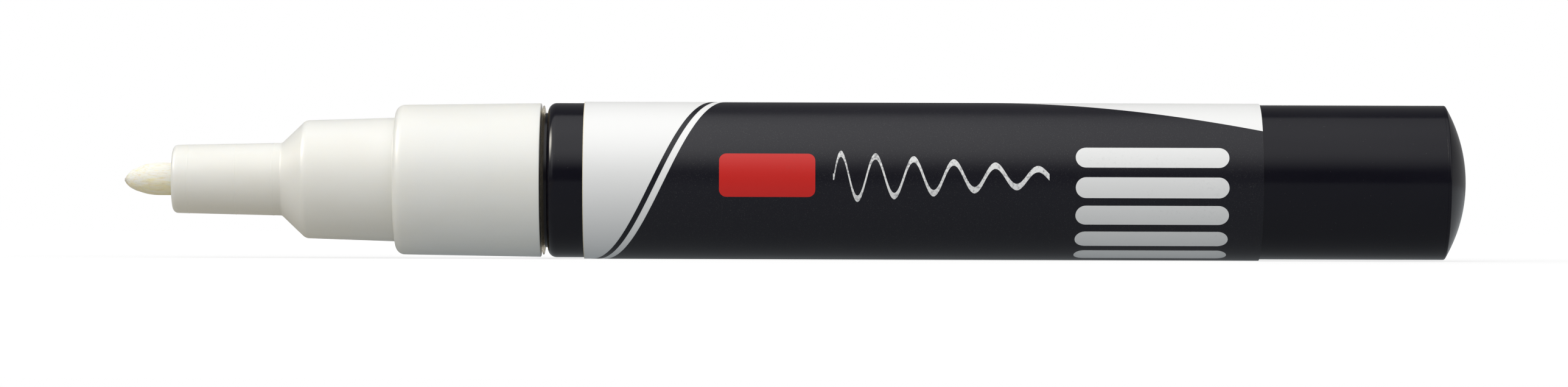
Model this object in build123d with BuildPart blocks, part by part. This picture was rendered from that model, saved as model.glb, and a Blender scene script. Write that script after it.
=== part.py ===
from build123d import *
import os
from math import cos, pi, sin, sqrt

# Liquid chalk marker with a pump valve, lying on its side with the nib towards -X.
# Sizes are in millimetres. Stations are distances along the axis from the tip of the nib.

# Clearances
fit_gap = 0.03  # radial, between pieces that stay put on each other
glue_gap = 0.02  # radial, adhesive under the label
nib_clearance = 0.08  # radial, nib in its guide
rod_clearance = 0.08  # radial, tail rod of the valve stem in its guide
tappet_gap = 0.05  # axial, between the nib and the valve stem
valve_gap = 0.03  # axial, between the poppet and its seat
spring_gap = 0.03  # axial, between the spring and what it bears on
ball_gap = 0.05  # between the ball and the wall that it lies on
stroke_margin = 0.6  # axial room left when the nib is pressed right in

# Nib
nib_diameter = 3.15
nib_projection = 4.7
nib_point_length = 3.4
nib_flank_length = 0.88
nib_flank_diameter = 1.94
nib_tip_diameter = 0.2

# Valve
stroke = 2.5
tappet_diameter = 2.6
tappet_length = 2.3
tappet_passage = 0.6
seat_overlap = 1.5
seat_thickness = 1.0
seat_edge = 0.2
poppet_thickness = 1.2
poppet_boss_length = 0.8
poppet_passage = 1.0
rod_diameter = 2.0
rod_engagement = 1.6
rod_edge = 0.3
guide_wall = 0.8
housing_wall = 0.82
housing_floor = 1.2
housing_flange = 1.0
port_diameter = 1.1
port_count = 6

# Valve spring
wire_diameter = 0.5
spring_turns = 6
spring_clearance = 0.45

# Nose
nozzle_length = 10.55
nozzle_wall = 1.625
nozzle_taper = 0.23
nozzle_edge = 0.5
cone_length = 2.3
spigot_length = 8.7
spigot_wall = 1.2
spigot_taper = 0.28
spigot_edge = 0.8
chamber_setback = 0.4
sleeve_length = 6.0
sleeve_wall = 0.9
flute_setback = 1.0
flute_width = 0.7
flute_depth = 0.45
flute_count = 4
collar_length = 14.09
collar_floor = 2.6
collar_wall = 0.69
collar_taper = 0.205
collar_step = 1.24
collar_edge = 0.9
collar_rear_edge = 0.1

# Sealing ring
ring_setback = 0.08
ring_thickness = 0.33
ring_height = 0.74
ring_edge = 0.05

# Barrel
neck_bare_length = 0.25
neck_wall = 1.25
neck_edge = 0.4
bead_setback = 4.5
bead_width = 1.2
bead_height = 0.2
shoulder_step = 0.96
shoulder_length = 3.52
shoulder_edge = 0.85
tank_front_wall = 1.3
tail_length = 17.68
barrel_wall = 1.15

# Tail plug
plug_rim = 0.28
plug_depth = 5.0
plug_wall = 1.0
plug_edge = 0.3
dome_height = 2.05

# Label
label_length = 65.2
label_thickness = 0.12
label_seam = 0.3

# Agitator ball
ball_diameter = 6.0

# Finest parts of the drawing
fillet_share = 0.9  # largest share of a wall that a rounded edge takes
same = 1e-3  # two sizes closer than this are one size
gap_samples = 16  # points per turn at which the spring's gap to itself is measured

# Diameters, worked out from the valve outwards
guide_diameter = nib_diameter + 2 * nib_clearance
nozzle_front_diameter = guide_diameter + 2 * nozzle_wall
nozzle_rear_diameter = nozzle_front_diameter + 2 * nozzle_taper
sleeve_diameter = guide_diameter + 2 * sleeve_wall
seat_hole_diameter = tappet_diameter + 2 * tappet_passage
poppet_diameter = seat_hole_diameter + 2 * seat_overlap
housing_bore = poppet_diameter + 2 * poppet_passage
housing_diameter = housing_bore + 2 * housing_wall
rod_guide_bore = rod_diameter + 2 * rod_clearance
rod_guide_diameter = rod_guide_bore + 2 * guide_wall
spring_bore = rod_guide_diameter + 2 * spring_clearance
spring_mean_diameter = spring_bore + wire_diameter
poppet_boss_diameter = spring_bore - spring_clearance
port_circle_diameter = (spring_mean_diameter + wire_diameter + housing_bore) / 2
neck_bore = housing_diameter + 2 * fit_gap
neck_diameter = neck_bore + 2 * neck_wall
skirt_bore = neck_diameter + 2 * fit_gap
collar_front_diameter = skirt_bore + 2 * collar_wall
collar_rear_diameter = collar_front_diameter + 2 * collar_taper
spigot_rear_diameter = collar_front_diameter - 2 * collar_step
spigot_front_diameter = spigot_rear_diameter - 2 * spigot_taper
chamber_diameter = spigot_front_diameter - 2 * spigot_wall
barrel_diameter = neck_diameter + 2 * shoulder_step
tank_bore = barrel_diameter - 2 * barrel_wall
plug_diameter = tank_bore - 2 * fit_gap
plug_bore = plug_diameter - 2 * plug_wall
label_bore = barrel_diameter + 2 * glue_gap
label_diameter = label_bore + 2 * label_thickness

# Stations of the outside, front to back
nozzle_front = nib_projection
nozzle_rear = nozzle_front + nozzle_length
spigot_front = nozzle_rear + cone_length
collar_front = spigot_front + spigot_length
collar_rear = collar_front + collar_length
ring_front = collar_rear + ring_setback
ring_rear = ring_front + ring_thickness
shoulder_front = ring_rear + neck_bare_length
label_front = shoulder_front + shoulder_length
label_rear = label_front + label_length
plug_seam = label_rear + tail_length
plug_corner = plug_seam + plug_rim
overall_length = plug_corner + dome_height

# Stations of the inside, front to back
flute_front = nozzle_front + flute_setback
chamber_front = spigot_front + chamber_setback
sleeve_rear = chamber_front + sleeve_length
seat_front = collar_front + collar_floor
seat_rear = seat_front + seat_thickness
neck_front = seat_rear + housing_flange
bead_station = neck_front + bead_setback
poppet_front = seat_rear + valve_gap
poppet_rear = poppet_front + poppet_thickness
poppet_boss_rear = poppet_rear + poppet_boss_length
stem_front = poppet_front - tappet_length
nib_rear = stem_front - tappet_gap
rod_guide_front = poppet_boss_rear + stroke + stroke_margin
rod_rear = rod_guide_front + rod_engagement
housing_floor_front = rod_rear + stroke + stroke_margin
housing_rear = housing_floor_front + housing_floor
tank_front = shoulder_front + tank_front_wall
plug_front = plug_seam - plug_depth
ball_station = (tank_front + plug_front) / 2

# The axis lies at the label's radius above the surface that the marker lies on, and the
# drawing plane has stations along its x and radii along its y.
axis_height = label_diameter / 2
nib_tip_x = -overall_length / 2
spine = Axis((0, 0, axis_height), (1, 0, 0))
profile_plane = Plane(origin=(nib_tip_x, 0, axis_height), x_dir=(1, 0, 0), z_dir=(0, -1, 0))


def cross_plane(station):
    """Plane square to the axis at a station, facing the rear."""
    return Plane(origin=(nib_tip_x + station, 0, axis_height), x_dir=(0, 1, 0), z_dir=(1, 0, 0))


def ring_edges(piece, station, diameter):
    """Round edges of a turned piece at one station and one diameter."""
    x = nib_tip_x + station
    return (
        piece.edges()
        .filter_by(GeomType.CIRCLE)
        .filter_by(lambda edge: abs(edge.arc_center.X - x) < same)
        .filter_by(lambda edge: abs(2 * edge.radius - diameter) < same)
    )


def limited(radius, wall):
    """Radius of a rounded edge, kept within the wall that it is on."""
    return min(radius, fillet_share * wall)


# Nib: a fibre rod with a bullet point of two arcs that run into each other
with BuildPart() as nib:
    with BuildSketch(profile_plane):
        with BuildLine():
            flank = TangentArc(
                (nib_point_length, nib_diameter / 2),
                (nib_flank_length, nib_flank_diameter / 2),
                tangent=(-1, 0),
            )
            tip = TangentArc(flank @ 1, (0, nib_tip_diameter / 2), tangent=flank % 1)
            Polyline(
                tip @ 1,
                (0, 0),
                (nib_rear, 0),
                (nib_rear, nib_diameter / 2),
                flank @ 0,
            )
        make_face()
    revolve(axis=spine)

# Nose: nozzle, cone, cap seat and collar in one moulding, with the nib's guide and the ink
# chamber inside and a skirt that snaps over the neck of the barrel
with BuildPart() as nose:
    with BuildSketch(profile_plane):
        with BuildLine():
            Polyline(
                (nozzle_front, 0),
                (nozzle_front, nozzle_front_diameter / 2),
                (nozzle_rear, nozzle_rear_diameter / 2),
                (spigot_front, spigot_front_diameter / 2),
                (collar_front, spigot_rear_diameter / 2),
                (collar_front, collar_front_diameter / 2),
                (collar_rear, collar_rear_diameter / 2),
                (collar_rear, 0),
                close=True,
            )
        make_face()
    revolve(axis=spine)
    with BuildSketch(profile_plane):
        with BuildLine():
            bead_groove = ThreePointArc(
                (bead_station - bead_width / 2 - fit_gap, skirt_bore / 2),
                (bead_station, skirt_bore / 2 + bead_height),
                (bead_station + bead_width / 2 + fit_gap, skirt_bore / 2),
            )
            Polyline(
                bead_groove @ 1,
                (collar_rear, skirt_bore / 2),
                (collar_rear, 0),
                (nozzle_front, 0),
                (nozzle_front, guide_diameter / 2),
                (sleeve_rear, guide_diameter / 2),
                (sleeve_rear, sleeve_diameter / 2),
                (chamber_front, sleeve_diameter / 2),
                (chamber_front, chamber_diameter / 2),
                (seat_front, chamber_diameter / 2),
                (seat_front, skirt_bore / 2),
                bead_groove @ 0,
            )
        make_face()
    revolve(axis=spine, mode=Mode.SUBTRACT)
    with BuildSketch(cross_plane(flute_front)):
        with PolarLocations(guide_diameter / 2, flute_count):
            Rectangle(2 * flute_depth, flute_width)
    extrude(amount=sleeve_rear - flute_front, mode=Mode.SUBTRACT)
    fillet(ring_edges(nose, nozzle_front, nozzle_front_diameter), limited(nozzle_edge, nozzle_wall))
    fillet(ring_edges(nose, spigot_front, spigot_front_diameter), limited(spigot_edge, cone_length))
    fillet(ring_edges(nose, collar_front, collar_front_diameter), limited(collar_edge, collar_step))
    fillet(ring_edges(nose, collar_rear, collar_rear_diameter), limited(collar_rear_edge, collar_wall))

# Sealing ring: a thin leaf-shaped lip round the neck, behind the collar
with BuildPart() as sealing_ring:
    with BuildSketch(profile_plane) as ring_section:
        with BuildLine():
            lip = (ring_front + ring_thickness / 2, skirt_bore / 2 + ring_height)
            front_flank = TangentArc((ring_front, skirt_bore / 2), lip, tangent=(0, 1))
            rear_flank = TangentArc((ring_rear, skirt_bore / 2), lip, tangent=(0, 1))
            Line(front_flank @ 0, rear_flank @ 0)
        make_face()
        fillet(ring_section.vertices().sort_by(Axis.Y)[-1], limited(ring_edge, ring_thickness / 2))
    revolve(axis=spine)

# Valve seat: a soft ring clamped between the nose and the valve housing
with BuildPart() as valve_seat:
    with BuildSketch(cross_plane(seat_front)):
        Circle(neck_diameter / 2)
        Circle(seat_hole_diameter / 2, mode=Mode.SUBTRACT)
    extrude(amount=seat_thickness)
    chamfer(
        ring_edges(valve_seat, seat_front, seat_hole_diameter), limited(seat_edge, seat_thickness)
    )

# Valve housing: a flanged cup in the neck, with ink ports in its floor and a blind guide for
# the tail rod of the valve stem
with BuildPart() as valve_housing:
    with BuildSketch(profile_plane):
        with BuildLine():
            Polyline(
                (seat_rear, housing_bore / 2),
                (seat_rear, neck_diameter / 2),
                (neck_front, neck_diameter / 2),
                (neck_front, housing_diameter / 2),
                (housing_rear, housing_diameter / 2),
                (housing_rear, 0),
                (housing_floor_front, 0),
                (housing_floor_front, rod_guide_bore / 2),
                (rod_guide_front, rod_guide_bore / 2),
                (rod_guide_front, rod_guide_diameter / 2),
                (housing_floor_front, rod_guide_diameter / 2),
                (housing_floor_front, housing_bore / 2),
                close=True,
            )
        make_face()
    revolve(axis=spine)
    with BuildSketch(cross_plane(housing_floor_front)):
        with PolarLocations(port_circle_diameter / 2, port_count):
            Circle(port_diameter / 2)
    extrude(amount=housing_floor, mode=Mode.SUBTRACT)
    fillet(
        ring_edges(valve_housing, housing_rear, housing_diameter), limited(rod_edge, housing_wall)
    )

# Valve stem: a tappet that the nib pushes, a poppet and a guided tail rod
with BuildPart() as valve_stem:
    with BuildSketch(profile_plane):
        with BuildLine():
            Polyline(
                (stem_front, 0),
                (stem_front, tappet_diameter / 2),
                (poppet_front, tappet_diameter / 2),
                (poppet_front, poppet_diameter / 2),
                (poppet_rear, poppet_diameter / 2),
                (poppet_rear, poppet_boss_diameter / 2),
                (poppet_boss_rear, poppet_boss_diameter / 2),
                (poppet_boss_rear, rod_diameter / 2),
                (rod_rear, rod_diameter / 2),
                (rod_rear, 0),
                close=True,
            )
        make_face()
    revolve(axis=spine)
    chamfer(ring_edges(valve_stem, rod_rear, rod_diameter), limited(rod_edge, rod_diameter / 2))
    chamfer(
        ring_edges(valve_stem, stem_front, tappet_diameter), limited(rod_edge, tappet_diameter / 2)
    )

# Valve spring: each quarter turn of the helix is two arcs that meet on its middle radius
coil_radius = spring_mean_diameter / 2
coil_front = poppet_rear + spring_gap + wire_diameter / 2
coil_rear = housing_floor_front - spring_gap - wire_diameter / 2
quarter_count = 4 * spring_turns
half_quarter = pi / 4
coil_lead = (coil_rear - coil_front) / (2 * pi * spring_turns)
half_rise = coil_lead * half_quarter
half_chord = coil_radius * sin(half_quarter)
chord_radius = coil_radius * cos(half_quarter)
arc_bend = chord_radius * half_chord + coil_lead * half_rise
arc_reach = half_chord**2 * (half_chord**2 + half_rise**2)
meeting_radius = chord_radius + (sqrt(arc_bend**2 + arc_reach) - arc_bend) / half_chord


def coil_point(turned, radius):
    """Point of the coil after turning by an angle in radians, at a radius from the axis."""
    x = nib_tip_x + coil_front + coil_lead * turned
    return Vector(x, radius * cos(turned), axis_height + radius * sin(turned))


with BuildPart() as valve_spring:
    with BuildLine() as coil:
        for quarter in range(quarter_count):
            start = 2 * half_quarter * quarter
            middle = coil_point(start + half_quarter, meeting_radius)
            heading = Vector(coil_lead, -coil_radius * sin(start), coil_radius * cos(start))
            lead_in = TangentArc(coil_point(start, coil_radius), middle, tangent=heading)
            TangentArc(
                middle, coil_point(start + 2 * half_quarter, coil_radius), tangent=lead_in % 1
            )
    with BuildSketch(Plane(coil.line @ 0, z_dir=coil.line % 0)):
        Circle(wire_diameter / 2)
    sweep(path=coil.line)

# Barrel: the ink tank, with a neck for the nose, a rounded shoulder and an open rear
with BuildPart() as barrel:
    with BuildSketch(profile_plane):
        with BuildLine():
            bead = ThreePointArc(
                (bead_station - bead_width / 2, neck_diameter / 2),
                (bead_station, neck_diameter / 2 + bead_height),
                (bead_station + bead_width / 2, neck_diameter / 2),
            )
            Polyline(
                bead @ 1,
                (shoulder_front, neck_diameter / 2),
                (shoulder_front, barrel_diameter / 2),
                (plug_seam, barrel_diameter / 2),
                (plug_seam, tank_bore / 2),
                (tank_front, tank_bore / 2),
                (tank_front, neck_bore / 2),
                (neck_front, neck_bore / 2),
                (neck_front, neck_diameter / 2),
                bead @ 0,
            )
        make_face()
    revolve(axis=spine)
    chamfer(ring_edges(barrel, neck_front, neck_diameter), limited(neck_edge, neck_wall))
    fillet(
        ring_edges(barrel, shoulder_front, barrel_diameter), limited(shoulder_edge, shoulder_step)
    )

# Tail plug: a hollow domed plug pressed into the rear of the barrel
with BuildPart() as tail_plug:
    with BuildSketch(profile_plane):
        with BuildLine():
            dome = TangentArc(
                (overall_length, 0), (plug_corner, barrel_diameter / 2), tangent=(0, 1)
            )
            hollow = TangentArc(
                (overall_length - plug_wall, 0), (plug_seam, plug_bore / 2), tangent=(0, 1)
            )
            Polyline(
                dome @ 1,
                (plug_seam, barrel_diameter / 2),
                (plug_seam, plug_diameter / 2),
                (plug_front, plug_diameter / 2),
                (plug_front, plug_bore / 2),
                hollow @ 1,
            )
            Line(hollow @ 0, dome @ 0)
        make_face()
    revolve(axis=spine)
    chamfer(ring_edges(tail_plug, plug_front, plug_diameter), limited(plug_edge, plug_wall))

# Label: a film wrapped round the barrel, with a narrow seam at the back
with BuildPart() as label:
    with BuildSketch(cross_plane(label_front)):
        Circle(label_diameter / 2)
        Circle(label_bore / 2, mode=Mode.SUBTRACT)
        with Locations((label_diameter / 2, 0)):
            Rectangle(label_diameter / 2, label_seam, mode=Mode.SUBTRACT)
    extrude(amount=label_length)

# Agitator ball: lies loose on the lowest line of the tank
ball_drop = tank_bore / 2 - ball_diameter / 2 - ball_gap
with BuildPart(cross_plane(ball_station)) as agitator_ball:
    with Locations((0, -ball_drop)):
        Sphere(ball_diameter / 2)

os.makedirs("parts", exist_ok=True)
pieces = {
    "nib": nib,
    "nose": nose,
    "sealing_ring": sealing_ring,
    "valve_seat": valve_seat,
    "valve_housing": valve_housing,
    "valve_stem": valve_stem,
    "valve_spring": valve_spring,
    "barrel": barrel,
    "tail_plug": tail_plug,
    "label": label,
    "agitator_ball": agitator_ball,
}
for name, piece in pieces.items():
    piece.part.label = name
    export_step(piece.part, f"parts/{name}.step")

# Least gap of the spring to itself, between points at least half a turn apart
sample_count = gap_samples * spring_turns
samples = [coil.line @ (index / sample_count) for index in range(sample_count + 1)]
spring_self_gap = min(
    (samples[later] - samples[earlier]).length - wire_diameter
    for earlier in range(sample_count + 1)
    for later in range(earlier + gap_samples // 2, sample_count + 1)
)
print(f"overall length {overall_length:.2f}, barrel {barrel_diameter:.2f}, label {label_diameter:.2f}")
print(f"valve spring: least gap to itself {spring_self_gap:.2f}")
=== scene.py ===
import logging
import math
from abc import ABC, abstractmethod
from dataclasses import dataclass, field, replace
from enum import Enum
from typing import Any, Callable, Mapping, Sequence

import bmesh
import bpy
from mathutils import Matrix, Vector


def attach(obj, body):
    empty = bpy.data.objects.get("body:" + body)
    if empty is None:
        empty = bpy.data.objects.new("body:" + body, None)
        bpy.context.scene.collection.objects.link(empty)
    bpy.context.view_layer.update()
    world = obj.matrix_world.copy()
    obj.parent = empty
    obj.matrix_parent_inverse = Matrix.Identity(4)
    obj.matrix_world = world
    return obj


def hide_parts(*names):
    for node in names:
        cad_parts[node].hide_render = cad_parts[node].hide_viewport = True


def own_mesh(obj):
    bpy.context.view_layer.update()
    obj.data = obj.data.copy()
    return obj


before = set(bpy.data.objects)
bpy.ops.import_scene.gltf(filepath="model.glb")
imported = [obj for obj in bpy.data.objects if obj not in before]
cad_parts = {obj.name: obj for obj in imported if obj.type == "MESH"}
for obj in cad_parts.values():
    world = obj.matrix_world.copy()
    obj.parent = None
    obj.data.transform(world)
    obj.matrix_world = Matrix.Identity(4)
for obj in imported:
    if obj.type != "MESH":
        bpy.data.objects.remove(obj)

logging.basicConfig(level=logging.INFO, format="%(message)s")
LOG = logging.getLogger("marker")

MM = 0.001
SEGMENTS = 192  # straight pieces in a full turn
TINY = 1e-7  # a length under this is nothing
GUARD = 0.06  # how far outside a fillet the ring lies that keeps the flat beside it flat
FILLET_STEP = 7  # degrees that one face of a fillet turns by at most
FILLET_FACES = 3  # faces that a fillet has at least
NOISE_MIDDLE = 0.5  # level about which a noise swings
MIX_FIRST, MIX_SECOND, MIX_RESULT = 6, 7, 2  # a Mix node's sockets for colours

Colour = tuple[float, float, float]
Pair = tuple[float, float]
Place = Callable[[Vector], bool]
Piece = bpy.types.Object
Socket = bpy.types.NodeSocket

OUTWARD: Pair = (0.0, 1.0)
BLACK: Colour = (0.0, 0.0, 0.0)
WHITE: Colour = (1.0, 1.0, 1.0)


class Body(str, Enum):
    """The bodies that the new pieces ride on."""

    MARKER = "marker_body"
    NIB = "nib"


class Ends(Enum):
    """How a turned profile is closed."""

    LOOP = "last ring joined to the first"
    POLES = "both ends drawn in to the axis"


class Side(Enum):
    """The side of an edge, seen along it, that is cut away."""

    LEFT = 1
    RIGHT = -1


class Way(Enum):
    """The way along the axis that a profile runs."""

    TO_TAIL = 1
    TO_NIB = -1

    @property
    def heading(self) -> Pair:
        """The direction in the drawing plane, as station and radius."""
        return (float(self.value), 0.0)


@dataclass(frozen=True)
class Drawing:
    """Where the marker lies in the frame.

    Attributes:
        length: overall length, from the nib's tip to the top of the tail's dome.
        axis_height: height of the long axis above the surface that the marker lies on.
    """

    length: float = 129.73
    axis_height: float = 7.6

    def x(self, station: float) -> float:
        """World X of a station, in metres."""
        return (station - self.length / 2) * MM

    @property
    def axis(self) -> float:
        """World Z of the long axis, in metres."""
        return self.axis_height * MM

    def off_axis(self, point: Vector) -> float:
        """Distance of a world point from the long axis, in millimetres."""
        return math.hypot(point.y, point.z - self.axis) / MM


DRAWING = Drawing()


@dataclass(frozen=True)
class Corner:
    """One corner of a turned profile.

    Attributes:
        station: distance from the nib's tip.
        radius: distance from the axis.
        fillet: radius that the corner is rounded to, or 0 for a sharp one.
    """

    station: float
    radius: float
    fillet: float = 0.0

    def towards(self, other: "Corner") -> Vector:
        """Direction to another corner in the drawing plane."""
        return Vector((other.station - self.station, other.radius - self.radius)).normalized()

    def turn(self, before: "Corner", after: "Corner") -> float:
        """Angle that the profile turns by at this corner, in radians."""
        return before.towards(self).angle(self.towards(after))

    def guarded(self, before: "Corner", after: "Corner") -> list["Corner"]:
        """This corner with two more, just outside its fillet, which keep the flats flat.

        Args:
            before: the corner ahead of it in the profile.
            after: the corner behind it in the profile.

        Returns:
            The three corners, or this one alone where it is sharp.
        """
        if not self.fillet:
            return [self]
        reach = self.fillet * math.tan(self.turn(before, after) / 2) + GUARD
        first, last = self.towards(before) * reach, self.towards(after) * reach
        return [
            Corner(self.station + first.x, self.radius + first.y),
            self,
            Corner(self.station + last.x, self.radius + last.y),
        ]


def in_turn(profile: Sequence[Corner]) -> list[tuple[Corner, Corner, Corner]]:
    """Each corner of a profile between the one before it and the one after it."""
    return list(zip([profile[-1], *profile[:-1]], profile, [*profile[1:], profile[0]]))


def tangent_arc(start: Corner, heading: Pair, end: Corner, steps: int) -> list[Corner]:
    """Corners along an arc that leaves one corner in a given direction and ends at another.

    Args:
        start: where the arc begins; it isn't repeated in the result.
        heading: direction of the arc at its start, as station and radius.
        end: where the arc ends.
        steps: number of straight pieces that the arc is drawn with.

    Returns:
        The corners after the start, the last of them the end.
    """
    origin = Vector((start.station, start.radius))
    ahead = Vector(heading).normalized()
    chord = Vector((end.station, end.radius)) - origin
    side = Vector((-ahead.y, ahead.x))
    if side.dot(chord) < 0:
        side = -side
    radius = chord.length_squared / (2 * side.dot(chord))
    sweep = 2 * math.atan2(side.dot(chord), ahead.dot(chord))
    corners = []
    for step in range(1, steps):
        turned_by = sweep * step / steps
        out, along = 1 - math.cos(turned_by), math.sin(turned_by)
        point = origin + side * radius * out + ahead * radius * along
        corners.append(Corner(point.x, point.y))
    return corners + [end]


@dataclass(frozen=True)
class SnapBead:
    """The bead on the barrel's neck that the nose snaps over, or the groove for it.

    Attributes:
        station: of its crown.
        half_width: from its crown to its foot.
        height: of its crown.
        rise: direction in which it leaves its foot, as station and radius.
        steps: straight pieces of each flank.
    """

    station: float
    half_width: float
    height: float
    rise: Pair
    steps: int = 4

    def corners(self, radius: float, way: Way) -> list[Corner]:
        """Corners over the bead, from foot to foot.

        Args:
            radius: of the wall that it is on.
            way: the way that the profile runs.

        Returns:
            The corners.
        """
        reach = way.value * self.half_width
        foot = Corner(self.station - reach, radius)
        crown = Corner(self.station, radius + self.height)
        far_foot = Corner(self.station + reach, radius)
        run, climb = self.rise
        return [
            foot,
            *tangent_arc(foot, (way.value * run, climb), crown, self.steps),
            *tangent_arc(crown, way.heading, far_foot, self.steps),
        ]


class Workpiece:
    """One mesh under construction, shaped with Blender's own tools."""

    def __init__(
        self,
        name: str,
        add: Callable[..., Any],
        scale: Sequence[float] = (1, 1, 1),
        **settings: Any,
    ) -> None:
        """Adds a primitive at its size and place and takes it into edit mode.

        Args:
            name: name of the finished piece.
            add: the operator that adds the primitive.
            scale: factors that the primitive is scaled by.
            settings: what the operator is told.
        """
        bpy.ops.object.select_all(action="DESELECT")
        add(**settings)
        self.object = bpy.context.active_object
        self.object.scale = scale
        self.object.name = name
        self.object.data.name = name
        self.into_edit_mode()
        bpy.context.tool_settings.mesh_select_mode = (True, True, True)

    @classmethod
    def ring(cls, name: str, corner: Corner) -> "Workpiece":
        """Starts a turned piece with a ring of edges round the axis.

        Args:
            name: name of the finished piece.
            corner: where the ring lies in the drawing plane.

        Returns:
            The new workpiece, in edit mode with its ring selected.
        """
        return cls(
            name,
            bpy.ops.mesh.primitive_circle_add,
            vertices=SEGMENTS,
            radius=corner.radius * MM,
            location=(DRAWING.x(corner.station), 0, DRAWING.axis),
            rotation=(0, math.pi / 2, 0),
        )

    @classmethod
    def sheet(cls, name: str, centre: Pair, size: Pair) -> "Workpiece":
        """Starts a flat sheet that faces -Y, with stations along X and arc length along Z.

        Args:
            name: name of the finished piece.
            centre: station and arc length of the middle, in millimetres.
            size: length along the stations and along the arc, in millimetres.

        Returns:
            The new workpiece, in edit mode with all of it selected.
        """
        return cls(
            name,
            bpy.ops.mesh.primitive_plane_add,
            scale=(size[0] * MM, size[1] * MM, 1),
            size=1,
            location=(DRAWING.x(centre[0]), 0, centre[1] * MM),
            rotation=(math.pi / 2, 0, 0),
        )

    def into_edit_mode(self) -> None:
        """Applies the object's place, turn and scale and goes into edit mode."""
        bpy.ops.object.transform_apply(location=True, rotation=True, scale=True)
        bpy.ops.object.mode_set(mode="EDIT")

    def out_of_edit_mode(self) -> Piece:
        """Leaves edit mode and returns the object."""
        bpy.ops.object.mode_set(mode="OBJECT")
        return self.object

    def pick(self, where: Place) -> None:
        """Selects the vertices at a place, with the edges and faces between them.

        Args:
            where: says of a vertex's position whether it is wanted.
        """
        bpy.ops.mesh.select_all(action="DESELECT")
        work = bmesh.from_edit_mesh(self.object.data)
        wanted = {vertex for vertex in work.verts if where(vertex.co)}
        for element in (*work.verts, *work.edges, *work.faces):
            corners = [element] if isinstance(element, bmesh.types.BMVert) else element.verts
            if wanted.issuperset(corners):
                element.select = True
        bmesh.update_edit_mesh(self.object.data)

    def pick_all(self) -> None:
        """Selects the whole piece."""
        bpy.ops.mesh.select_all(action="SELECT")

    def pick_ring(self, corner: Corner, slack: float = 0.002) -> None:
        """Selects the ring of edges at a corner of the profile.

        Args:
            corner: where the ring lies in the drawing plane.
            slack: how far off it a vertex may be.
        """
        x = DRAWING.x(corner.station)
        self.pick(
            lambda co: abs(co.x - x) < slack * MM
            and abs(DRAWING.off_axis(co) - corner.radius) < slack
        )

    def pick_open_ends(self) -> None:
        """Selects the edges at which the surface ends."""
        bpy.ops.mesh.select_all(action="DESELECT")
        bpy.ops.mesh.select_non_manifold()

    def extrude(self, along: float, up: float = 0.0) -> None:
        """Extrudes the selected edges along the axis and upwards, in metres."""
        bpy.ops.mesh.extrude_edges_move(TRANSFORM_OT_translate={"value": (along, 0, up)})

    def extrude_ring(self, start: Corner, end: Corner) -> None:
        """Extrudes the selected ring from one corner of the profile to the next.

        Args:
            start: where the ring is.
            end: where the new ring goes.
        """
        self.extrude(DRAWING.x(end.station) - DRAWING.x(start.station))
        if abs(end.radius - start.radius) > TINY:
            growth = end.radius / start.radius
            bpy.ops.transform.resize(
                value=(1, growth, growth),
                center_override=(DRAWING.x(end.station), 0, DRAWING.axis),
            )

    def draw_in(self, corner: Corner, station: float) -> None:
        """Closes the ring at a corner with a fan of faces that meet on the axis.

        Args:
            corner: where the ring is.
            station: where the faces meet.
        """
        self.pick_ring(corner)
        self.extrude(DRAWING.x(station) - DRAWING.x(corner.station))
        bpy.ops.mesh.merge(type="CENTER")

    def round_corner(self, before: Corner, corner: Corner, after: Corner) -> None:
        """Rounds the ring at a corner to its fillet.

        Args:
            before: the corner ahead of it in the profile.
            corner: the corner to round.
            after: the corner behind it in the profile.
        """
        turn = corner.turn(before, after)
        self.pick_ring(corner)
        bpy.ops.mesh.bevel(
            offset=corner.fillet * math.tan(turn / 2) * MM,
            segments=max(FILLET_FACES, math.ceil(math.degrees(turn) / FILLET_STEP)),
            affect="EDGES",
        )

    def cut(self, point: Pair, normal: Pair, clear: bool = True) -> None:
        """Cuts a flat sheet along a line.

        Args:
            point: station and arc length of a point on the line, in millimetres.
            normal: direction square to the line, as station and arc length.
            clear: whether the side that the normal points to is taken away.
        """
        self.pick_all()
        bpy.ops.mesh.bisect(
            plane_co=(DRAWING.x(point[0]), 0, point[1] * MM),
            plane_no=Vector((normal[0], 0, normal[1])).normalized(),
            clear_outer=clear,
        )

    def face_front(self) -> None:
        """Turns all the faces of a flat sheet towards -Y."""
        self.pick_all()
        bpy.ops.mesh.normals_make_consistent(inside=False)
        faces = bmesh.from_edit_mesh(self.object.data).faces
        if sum(face.normal.y * face.calc_area() for face in faces) > 0:
            bpy.ops.mesh.flip_normals()

    def finish(self, smooth_under: float = 30.0) -> Piece:
        """Turns the faces outwards, leaves edit mode and smooths the shading.

        Args:
            smooth_under: edges that turn by less than this, in degrees, are shaded smooth.

        Returns:
            The finished object.
        """
        self.pick_all()
        bpy.ops.mesh.remove_doubles(threshold=TINY)
        bpy.ops.mesh.normals_make_consistent(inside=False)
        bpy.ops.mesh.select_all(action="DESELECT")
        self.out_of_edit_mode()
        bpy.ops.object.shade_smooth_by_angle(angle=math.radians(smooth_under))
        return self.object


def turned(name: str, profile: Sequence[Corner], ends: Ends) -> Workpiece:
    """Turns a profile about the axis.

    Args:
        name: name of the finished piece.
        profile: corners in order. With poles, the first and the last lie on the axis.
        ends: how the profile is closed.

    Returns:
        The turned workpiece, still in edit mode.
    """
    corners = [
        ring
        for before, corner, after in in_turn(profile)
        for ring in corner.guarded(before, after)
    ]
    rings = corners[1:-1] if ends is Ends.POLES else corners
    piece = Workpiece.ring(name, rings[0])
    for start, end in zip(rings, rings[1:]):
        piece.extrude_ring(start, end)
    if ends is Ends.POLES:
        piece.draw_in(rings[0], corners[0].station)
        piece.draw_in(rings[-1], corners[-1].station)
    else:
        piece.pick_open_ends()
        bpy.ops.mesh.bridge_edge_loops()
    for before, corner, after in in_turn(corners):
        if corner.fillet:
            piece.round_corner(before, corner, after)
    return piece


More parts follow.
